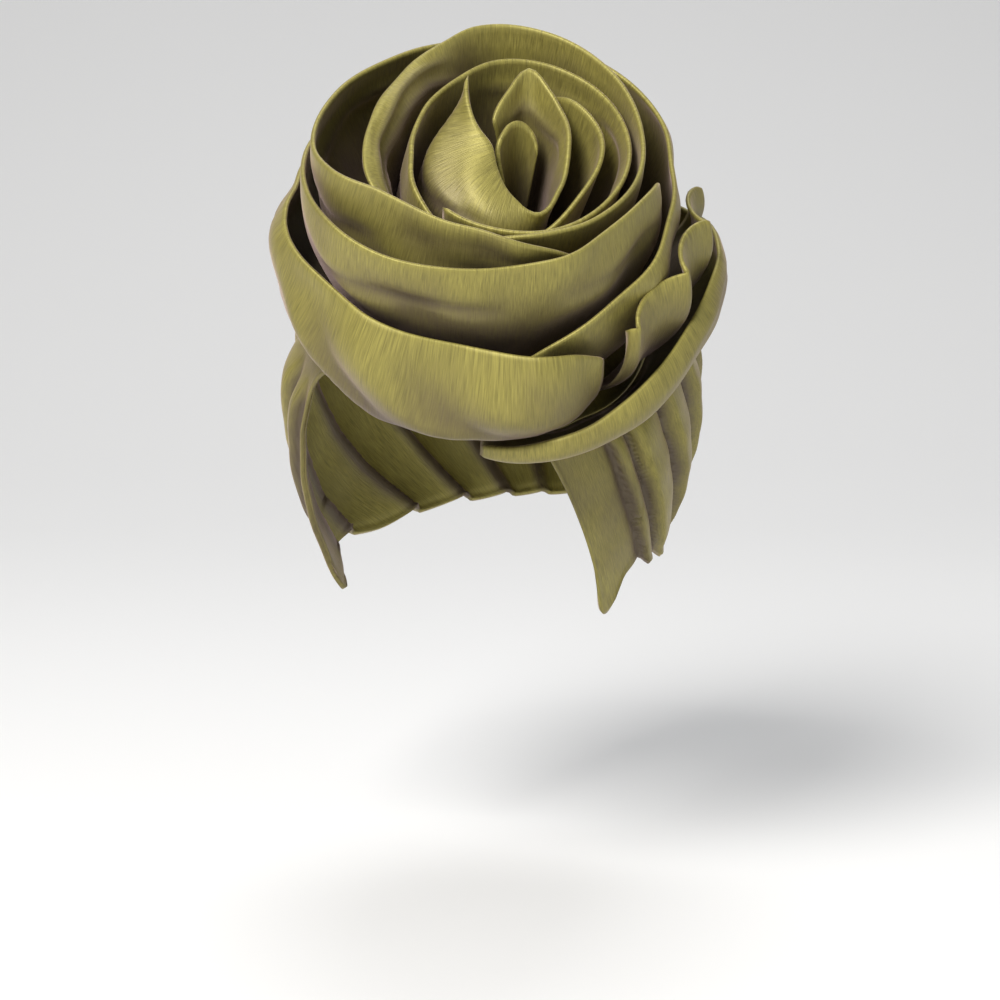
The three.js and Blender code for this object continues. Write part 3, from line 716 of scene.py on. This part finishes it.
def satin_material(name):
    """Shot satin: gold and olive threads, and a dark mauve that is partly the cloth's shot tone in random
    blooms and partly painted shade deep in the folds.
    """
    found = bpy.data.materials.get(name + "_weave")
    if found:
        return found
    colours = bpy.context.scene.satin_colours
    material = bpy.data.materials.new(name + "_weave")
    material.use_nodes = True
    tree = material.node_tree
    surface = tree.nodes["Principled BSDF"]
    base = Shade(tree, None)
    cloth = base.out(base.node("ShaderNodeUVMap", {"uv_map": "weave"}), "UV")

    def threads(scale, detail):
        turned = base.node("ShaderNodeMapping", Vector=cloth, Scale=scale)
        noise = base.node("ShaderNodeTexNoise", Vector=base.out(turned, "Vector"), Scale=1.0, Detail=detail)
        return base.out(noise, "Fac")

    fine = threads((2200, 160, 1), 3.0)
    slub = threads((850, 75, 1), 3.0)
    cross = threads((40, 900, 1), 2.0)
    bloom = threads((26, 20, 1), 2.0)
    # The painted fold shade, laid on each point of the cloth's grid.
    depth = base.out(base.node("ShaderNodeAttribute", {"attribute_name": "painted_fold_shade"}), "Fac")
    thread = (0.6 * fine + 0.4 * slub).between(0.34, 0.68)
    gold = thread.mix((*colours.olive, 1), (*colours.gold, 1))
    # Painted shade and real tone: the mauve comes in with the painted fold shade and with random blooms of the
    # shot cloth's tone.
    shot = (depth * 1.1 + (bloom - 0.5) * 1.1 + (slub - 0.5) * 0.5).between(0.06, 0.9)
    base.fill(surface.inputs["Base Color"], (shot * 0.9).mix(gold, (*colours.mauve, 1)))
    base.fill(surface.inputs["Roughness"], 0.4 + 0.2 * fine)
    surface.inputs["Metallic"].default_value = 0.35
    surface.inputs["Specular IOR Level"].default_value = 0.5
    surface.inputs["Sheen Weight"].default_value = 0.5
    surface.inputs["Sheen Roughness"].default_value = 0.4
    surface.inputs["Sheen Tint"].default_value = (0.6, 0.44, 0.42, 1)
    height = 0.6 * fine + 0.25 * slub + 0.15 * cross
    bump = base.node("ShaderNodeBump", Strength=0.6, Distance=0.0004, Height=height)
    base.fill(surface.inputs["Normal"], base.out(bump, "Normal"))
    return material


class HEADTIE_OT_cap(bpy.types.Operator):
    """Makes the pleated cap"""

    bl_idname = "headtie.cap"
    bl_label = "Pleated cap"

    def execute(self, context):
        pleated_cap(context.scene.cloth_sizes)
        return {"FINISHED"}


class HEADTIE_OT_heart(bpy.types.Operator):
    """Makes the rolled heart of the rose"""

    bl_idname = "headtie.heart"
    bl_label = "Rose heart"

    def execute(self, context):
        for name in HEART_BANDS:
            folded_band(name, context.scene.cloth_sizes)
        return {"FINISHED"}


class HEADTIE_OT_turns(bpy.types.Operator):
    """Makes the bands wound round the heart"""

    bl_idname = "headtie.turns"
    bl_label = "Rose turns"

    def execute(self, context):
        for name in TURN_BANDS:
            folded_band(name, context.scene.cloth_sizes)
        return {"FINISHED"}


class HEADTIE_OT_outer(bpy.types.Operator):
    """Makes the collar, the ruffle and the outer lip"""

    bl_idname = "headtie.outer"
    bl_label = "Collar, ruffle and lip"

    def execute(self, context):
        for name in OUTER_BANDS:
            folded_band(name, context.scene.cloth_sizes)
        return {"FINISHED"}


def view_axes():
    """The view's right, up and back, as unit vectors."""
    a, e = VIEW_AZIMUTH, VIEW_ELEVATION
    right = Vector((math.cos(a), math.sin(a), 0))
    back = Vector((math.sin(a) * math.cos(e), -math.cos(a) * math.cos(e), math.sin(e)))
    return right, back.cross(right), back


def aimed(position, target):
    """A matrix at position whose -Z looks at target."""
    turn = (Vector(position) - Vector(target)).to_track_quat("Z", "Y")
    return Matrix.LocRotScale(Vector(position), turn, None)


def soft_light(name, place, size, power, warmth):
    """A square area light, placed by right, up and back of the view, looking at the rose."""
    right, up, back = view_axes()
    centre = Vector((0.02, -0.04, -0.03))
    data = bpy.data.lights.new(name, "AREA")
    data.size = size
    data.energy = power
    data.color = warmth
    lamp = bpy.data.objects.new(name, data)
    bpy.context.scene.collection.objects.link(lamp)
    lamp.matrix_world = aimed(centre + right * place[0] + up * place[1] + back * place[2], centre)


class HEADTIE_OT_stage(bpy.types.Operator):
    """Makes the floor, the lights and the camera"""

    bl_idname = "headtie.stage"
    bl_label = "Stage"

    def execute(self, context):
        right, up, back = view_axes()
        low = CAD_BOX[0].z - FLOOR_DROP
        bm = bmesh.new()
        bmesh.ops.create_grid(bm, x_segments=40, y_segments=40, size=4)
        for vertex in bm.verts:
            behind = max(-(vertex.co @ Vector((back.x, back.y, 0))) - 0.8, 0)
            vertex.co.z = low + 0.45 * behind**2
        floor_mesh = bpy.data.meshes.new("floor")
        bm.to_mesh(floor_mesh)
        bm.free()
        for face in floor_mesh.polygons:
            face.use_smooth = True
        floor = bpy.data.objects.new("floor", floor_mesh)
        context.scene.collection.objects.link(floor)
        paper = bpy.data.materials.new("pale_paper")
        paper.use_nodes = True
        paper.node_tree.nodes["Principled BSDF"].inputs["Base Color"].default_value = (0.86, 0.86, 0.86, 1)
        paper.node_tree.nodes["Principled BSDF"].inputs["Roughness"].default_value = 0.9
        floor_mesh.materials.append(paper)

        soft_light("key", (-0.6, 0.9, 1.4), 0.7, 40, (1.0, 0.98, 0.95))
        soft_light("fill", (1.3, 0.3, 0.9), 1.2, 4, (0.96, 0.98, 1.0))
        soft_light("top", (0.1, 1.5, -0.4), 0.9, 10, (1.0, 1.0, 1.0))
        world = bpy.data.worlds.new("room")
        context.scene.world = world
        world.use_nodes = True
        world.node_tree.nodes["Background"].inputs["Color"].default_value = (0.95, 0.97, 1.0, 1)
        world.node_tree.nodes["Background"].inputs["Strength"].default_value = 0.24

        data = bpy.data.cameras.new("camera")
        camera = bpy.data.objects.new("camera", data)
        context.scene.collection.objects.link(camera)
        half = FRAME_PIXELS / 2
        aim = right * ((half - CROWN_PIXEL[0]) * PIXEL_SIZE) + up * ((CROWN_PIXEL[1] - half) * PIXEL_SIZE)
        camera.matrix_world = aimed(aim + back * VIEW_DISTANCE, aim)
        data.sensor_width = SENSOR
        data.lens = SENSOR * VIEW_DISTANCE / (FRAME_PIXELS * PIXEL_SIZE)
        context.scene.camera = camera
        context.scene.view_settings.view_transform = "Standard"
        return {"FINISHED"}


class HEADTIE_PT_panel(bpy.types.Panel):
    """Lists the head tie's pieces"""

    bl_label = "Head tie"
    bl_idname = "HEADTIE_PT_panel"
    bl_space_type = "VIEW_3D"
    bl_region_type = "UI"
    bl_category = "Head tie"

    def draw(self, context):
        for settings in (context.scene.cloth_sizes, context.scene.satin_colours):
            for key in settings.__annotations__:
                self.layout.prop(settings, key)
        for operator in OPERATORS:
            self.layout.operator(operator.bl_idname)


SETTINGS = (ClothSettings, SatinSettings)
OPERATORS = (HEADTIE_OT_cap, HEADTIE_OT_heart, HEADTIE_OT_turns, HEADTIE_OT_outer, HEADTIE_OT_stage)


def register():
    """Adds the settings, the operators and the panel."""
    for kind in (*SETTINGS, *OPERATORS, HEADTIE_PT_panel):
        bpy.utils.register_class(kind)
    bpy.types.Scene.cloth_sizes = bpy.props.PointerProperty(type=ClothSettings)
    bpy.types.Scene.satin_colours = bpy.props.PointerProperty(type=SatinSettings)


def unregister():
    """Takes them away again."""
    del bpy.types.Scene.satin_colours
    del bpy.types.Scene.cloth_sizes
    for kind in reversed((*SETTINGS, *OPERATORS, HEADTIE_PT_panel)):
        bpy.utils.unregister_class(kind)


def main():
    """Builds every piece and the stage."""
    register()
    bpy.ops.headtie.cap()
    bpy.ops.headtie.heart()
    bpy.ops.headtie.turns()
    bpy.ops.headtie.outer()
    bpy.ops.headtie.stage()
    bpy.context.view_layer.update()


if __name__ == "__main__":
    main()
